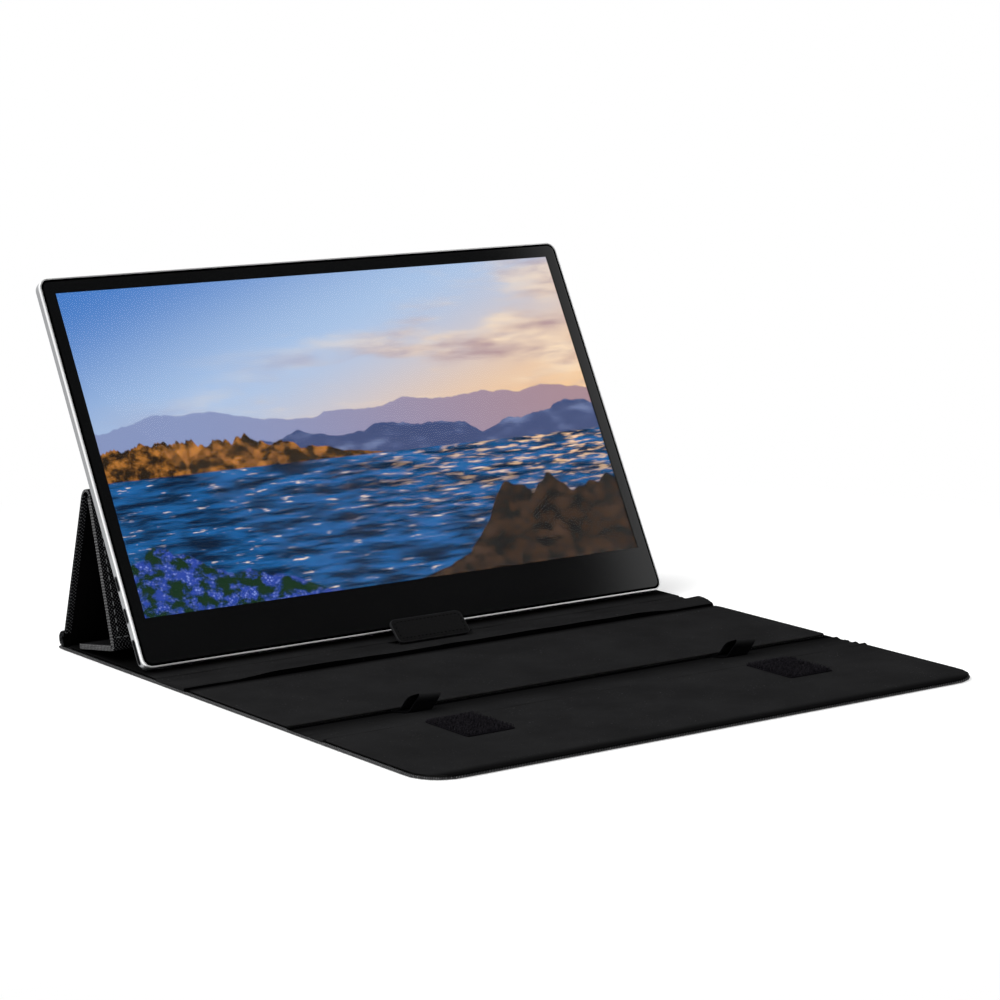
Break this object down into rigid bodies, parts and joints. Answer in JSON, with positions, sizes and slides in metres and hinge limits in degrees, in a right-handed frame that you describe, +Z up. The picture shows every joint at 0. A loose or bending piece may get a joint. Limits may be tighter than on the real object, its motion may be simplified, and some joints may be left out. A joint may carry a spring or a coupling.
{
  "type": "portable monitor with folding cover",
  "caption": "Slim flat-screen portable monitor leaning on the triangular stand of its folding fabric cover, with hinged cover panels, stop tab, side sockets and controls.",
  "frame": {"origin": "on the table, under the middle of the whole object's box", "axes": "+X along the screen to the viewer's right, +Y from the cover's front edge to the stand, +Z up"},
  "size_m": [0.369, 0.3854, 0.2081],
  "materials": {
    "woven_canvas": "coarse woven black and grey canvas",
    "suede_lining": "matte charcoal suede",
    "stiff_board": "plain grey board",
    "keeper_steel": "plain",
    "tab_leather": "black grained leather, stitched round its edge",
    "ribbon": "black woven ribbon",
    "hook_pile": "black pile",
    "silver_metal": "fine blasted and anodised",
    "screen_glass": "polished",
    "black_tape": "matte",
    "display_panel": "dark panel",
    "white_film": "matte white",
    "clear_acrylic": "clear",
    "tray_steel": "plain",
    "circuit_board": "green solder mask",
    "chip_black": "matte black",
    "flex_film": "amber film",
    "spreader_metal": "plain",
    "socket_steel": "plated",
    "control_metal": "anodised"
  },
  "bodies": {
    "base_panel": {"base_skin": "woven_canvas", "base_board": "stiff_board", "base_lining": "suede_lining", "base_keepers": "keeper_steel", "base_fold_leaf": "suede_lining"},
    "middle_panel": {"middle_skin": "woven_canvas", "middle_board": "stiff_board", "middle_lining": "suede_lining", "middle_rear_leaf": "suede_lining", "middle_front_leaf": "suede_lining", "ribbon_loop_left": "ribbon", "ribbon_loop_right": "ribbon"},
    "front_panel": {"front_skin": "woven_canvas", "front_board": "stiff_board", "front_lining": "suede_lining", "front_fold_leaf": "suede_lining", "hook_patch_left": "hook_pile", "hook_patch_right": "hook_pile"},
    "rear_leg": {"rear_leg_skin": "woven_canvas", "rear_leg_board": "stiff_board", "rear_leg_lining": "suede_lining", "spine_roll": "woven_canvas", "apex_fold": "woven_canvas"},
    "front_leg": {"front_leg_skin": "woven_canvas", "front_leg_board": "stiff_board", "front_leg_lining": "suede_lining", "foot_fold": "woven_canvas"},
    "foot_flap": {"flap_skin": "woven_canvas", "flap_board": "stiff_board", "flap_lining": "suede_lining", "flap_magnets": "keeper_steel"},
    "stop_tab": {"tab_leather": "tab_leather", "tab_core": "stiff_board"},
    "monitor": {"rear_shell": "silver_metal", "front_rim": "silver_metal", "front_glass": "screen_glass", "glass_tape": "black_tape", "lcd_cell": "display_panel", "optical_films": "white_film", "led_bar": "circuit_board", "light_guide": "clear_acrylic", "reflector_sheet": "white_film", "panel_tray": "tray_steel", "main_board": "circuit_board", "board_screws": "tray_steel", "board_chips": "chip_black", "panel_driver_board": "circuit_board", "display_flex_cable": "flex_film", "heat_spreader": "spreader_metal", "usb_c_port_lower": "socket_steel", "usb_c_port_upper": "socket_steel", "video_port": "socket_steel", "speaker_left": "chip_black", "speaker_right": "chip_black", "rocker_carrier": "chip_black", "control_board": "circuit_board"},
    "power_button": {"power_button": "control_metal"},
    "menu_rocker": {"menu_rocker": "control_metal"}
  },
  "joints": [
    {"name": "middle_fold", "type": "hinge", "parent": "base_panel", "child": "middle_panel", "pos_m": [0, 0.04828, 0.0016], "axis": [-1, 0, 0], "range_deg": [0, 115]},
    {"name": "front_fold", "type": "hinge", "parent": "middle_panel", "child": "front_panel", "pos_m": [0, -0.08272, 0.0016], "axis": [1, 0, 0], "range_deg": [-165, 0], "deforming": ["ribbon_loop_left", "ribbon_loop_right"]},
    {"name": "monitor_tilt", "type": "hinge", "parent": "base_panel", "child": "monitor", "pos_m": [0, 0.08188, 0.0056], "axis": [-1, 0, 0], "range_deg": [-25, 0]},
    {"name": "tab_fold", "type": "hinge", "parent": "base_panel", "child": "stop_tab", "pos_m": [0, 0.06028, 0.0029], "axis": [-1, 0, 0], "range_deg": [-128, 20]},
    {"name": "rear_leg_fold", "type": "hinge", "parent": "base_panel", "child": "rear_leg", "pos_m": [0, 0.16768, 0.006], "axis": [-1, 0, 0], "range_deg": [0, 105]},
    {"name": "front_leg_fold", "type": "hinge", "parent": "rear_leg", "child": "front_leg", "pos_m": [0, 0.13753, 0.091], "axis": [1, 0, 0], "range_deg": [0, 16]},
    {"name": "flap_fold", "type": "hinge", "parent": "front_leg", "child": "foot_flap", "pos_m": [0, 0.11265, 0.01202], "axis": [1, 0, 0], "range_deg": [0, 79.35]},
    {"name": "power_press", "type": "slide", "parent": "monitor", "child": "power_button", "axis": [-1, 0, 0], "range_m": [0, 0.0004], "stiffness_N_per_m": 500},
    {"name": "menu_rock", "type": "hinge", "parent": "monitor", "child": "menu_rocker", "pos_m": [0.17615, 0.10988, 0.0581], "axis": [0, 0.8771, -0.4802], "range_deg": [-4, 4], "stiffness_Nm_per_rad": 0.05}
  ],
  "couplings": [
    {"joint": "flap_fold", "follows": "front_leg_fold", "ratio": 4.9562}
  ]
}
